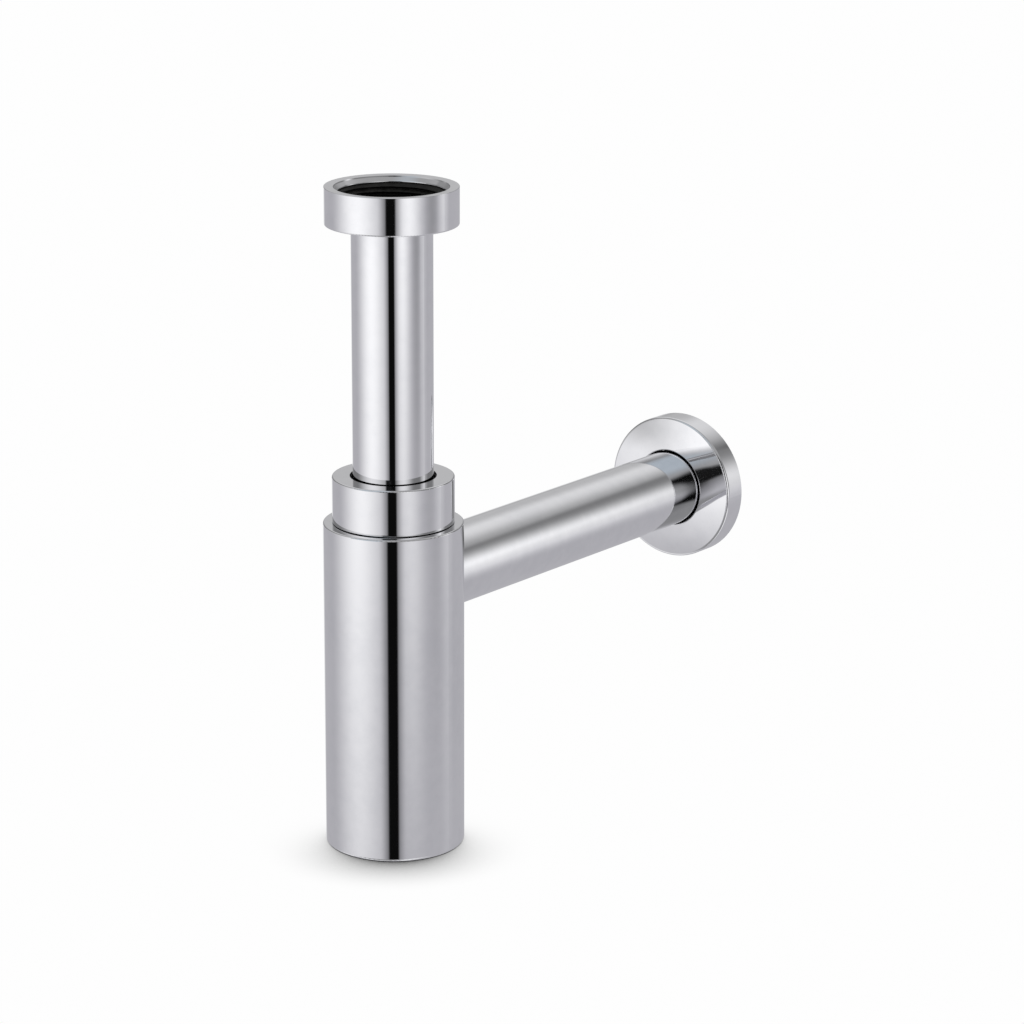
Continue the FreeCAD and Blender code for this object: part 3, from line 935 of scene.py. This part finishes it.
def make_floor(studio):
    """Pale floor with a painted shadow: to the camera it is an emission, darkened by ambient occlusion leaned
    away from the camera under what stands on it, and it is clear from below.
    """
    mesh = bpy.data.meshes.new("floor")
    bm = bmesh.new()
    bmesh.ops.create_circle(bm, cap_ends=True, segments=96, radius=studio.floor_radius)
    bm.to_mesh(mesh)
    bm.free()
    floor = bpy.data.objects.new("floor", mesh)
    floor.location.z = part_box("bottle_body")[0].z
    floor.visible_glossy = False
    bpy.context.scene.collection.objects.link(floor)
    material = bpy.data.materials.new("pale_floor")
    material.use_nodes = True
    tree = material.node_tree
    tree.nodes.clear()
    # Painted shadow: occlusion within the reach darkens the floor's emission, in place of a lamp's shadow.
    sky = add(tree, "ShaderNodeAmbientOcclusion", "Open sky", samples=24, Distance=studio.shadow_reach)
    lean = add(tree, "ShaderNodeCombineXYZ", "Lean away from the camera")
    for socket, part in zip(lean.inputs, -facing(0, -SHADOW_LEAN)):
        socket.default_value = part
    tree.links.new(lean.outputs[0], sky.inputs["Normal"])
    hidden = math_node(tree, "Hidden sky", "SUBTRACT", 1.0, sky.outputs["AO"])
    most = math_node(tree, "Most of it", "MULTIPLY", hidden, SHADOW_GAIN, clamp=True)
    deep = math_node(tree, "Depth", "POWER", most, SHADOW_POWER)
    light = math_node(tree, "Light", "SUBTRACT", 1.0, deep, clamp=True)
    level = math_node(tree, "Painted shadow level", "MULTIPLY", light, studio.white)
    shown = add(tree, "ShaderNodeEmission", "Shown")
    tree.links.new(level, shown.inputs["Strength"])
    plain = add(tree, "ShaderNodeBsdfDiffuse", "Plain")
    plain.inputs["Color"].default_value = (0.86, 0.86, 0.86, 1)
    ray = add(tree, "ShaderNodeLightPath", "Ray").outputs
    top = mix_shader(tree, "Top", ray["Is Camera Ray"], plain, shown)
    clear = add(tree, "ShaderNodeBsdfTransparent", "Clear")
    below = add(tree, "ShaderNodeNewGeometry", "Side").outputs["Backfacing"]
    whole = mix_shader(tree, "Top or below", below, top, clear)
    tree.links.new(whole.outputs[0], add(tree, "ShaderNodeOutputMaterial", "Floor").inputs["Surface"])
    mesh.materials.append(material)


def make_lamp():
    """One wide soft lamp overhead, which brings plain colours up to their level."""
    data = bpy.data.lights.new("soft_lamp", "AREA")
    data.shape = "DISK"
    data.size = LAMP_SIZE
    data.energy = LAMP_POWER
    lamp = bpy.data.objects.new("soft_lamp", data)
    lamp.location = LAMP_PLACE
    lamp.rotation_euler = (Vector(LAMP_AIM) - lamp.location).to_track_quat("-Z", "Y").to_euler()
    lamp.visible_glossy = False
    bpy.context.scene.collection.objects.link(lamp)


def make_camera(studio):
    """Camera at the photograph's viewing angle."""
    data = bpy.data.cameras.new("camera")
    data.sensor_width = 36
    data.lens = studio.lens
    camera = bpy.data.objects.new("camera", data)
    turn = (Matrix.Rotation(studio.heading, 4, "Z") @ Matrix.Rotation(math.pi / 2 - studio.tilt, 4, "X")
            @ Matrix.Rotation(studio.roll, 4, "Z"))
    camera.matrix_world = Matrix.Translation(studio.camera_place) @ turn
    bpy.context.scene.collection.objects.link(camera)
    bpy.context.scene.camera = camera


class TRAP_OT_stage(bpy.types.Operator):
    """Floor, light and camera"""

    bl_idname = "trap.stage"
    bl_label = "Studio"

    def execute(self, context):
        studio = context.scene.trap_studio
        context.scene.view_settings.view_transform = "Standard"
        make_world(studio)
        make_floor(studio)
        make_lamp()
        make_camera(studio)
        return {"FINISHED"}


OPERATORS = (
    TRAP_OT_bottle, TRAP_OT_lock_nut, TRAP_OT_inlet, TRAP_OT_cleaning_plug, TRAP_OT_outlet,
    TRAP_OT_wall_flange, TRAP_OT_stage,
)


class TRAP_PT_panel(bpy.types.Panel):
    """Lists the trap's pieces and sizes"""

    bl_idname = "TRAP_PT_panel"
    bl_label = "Bottle trap"
    bl_space_type = "VIEW_3D"
    bl_region_type = "UI"
    bl_category = "Bottle trap"

    def draw(self, context):
        for operator in OPERATORS:
            self.layout.operator(operator.bl_idname)
        for sheet in (context.scene.trap_threads, context.scene.trap_finish, context.scene.trap_studio):
            box = self.layout.box()
            for name in sheet.__annotations__:
                box.prop(sheet, name)


CLASSES = (TrapThreads, TrapFinish, TrapStudio, *OPERATORS, TRAP_PT_panel)


def register():
    """Make the classes and their sheets of sizes known."""
    for cls in CLASSES:
        bpy.utils.register_class(cls)
    bpy.types.Scene.trap_threads = PointerProperty(type=TrapThreads)
    bpy.types.Scene.trap_finish = PointerProperty(type=TrapFinish)
    bpy.types.Scene.trap_studio = PointerProperty(type=TrapStudio)


def unregister():
    """Take them out again."""
    del bpy.types.Scene.trap_studio
    del bpy.types.Scene.trap_finish
    del bpy.types.Scene.trap_threads
    for cls in reversed(CLASSES):
        bpy.utils.unregister_class(cls)


def main():
    """Dress the part and set up its studio."""
    register()
    bpy.ops.trap.bottle()
    bpy.ops.trap.lock_nut()
    bpy.ops.trap.inlet()
    bpy.ops.trap.cleaning_plug()
    bpy.ops.trap.outlet()
    bpy.ops.trap.wall_flange()
    bpy.ops.trap.stage()


if __name__ == "__main__":
    main()
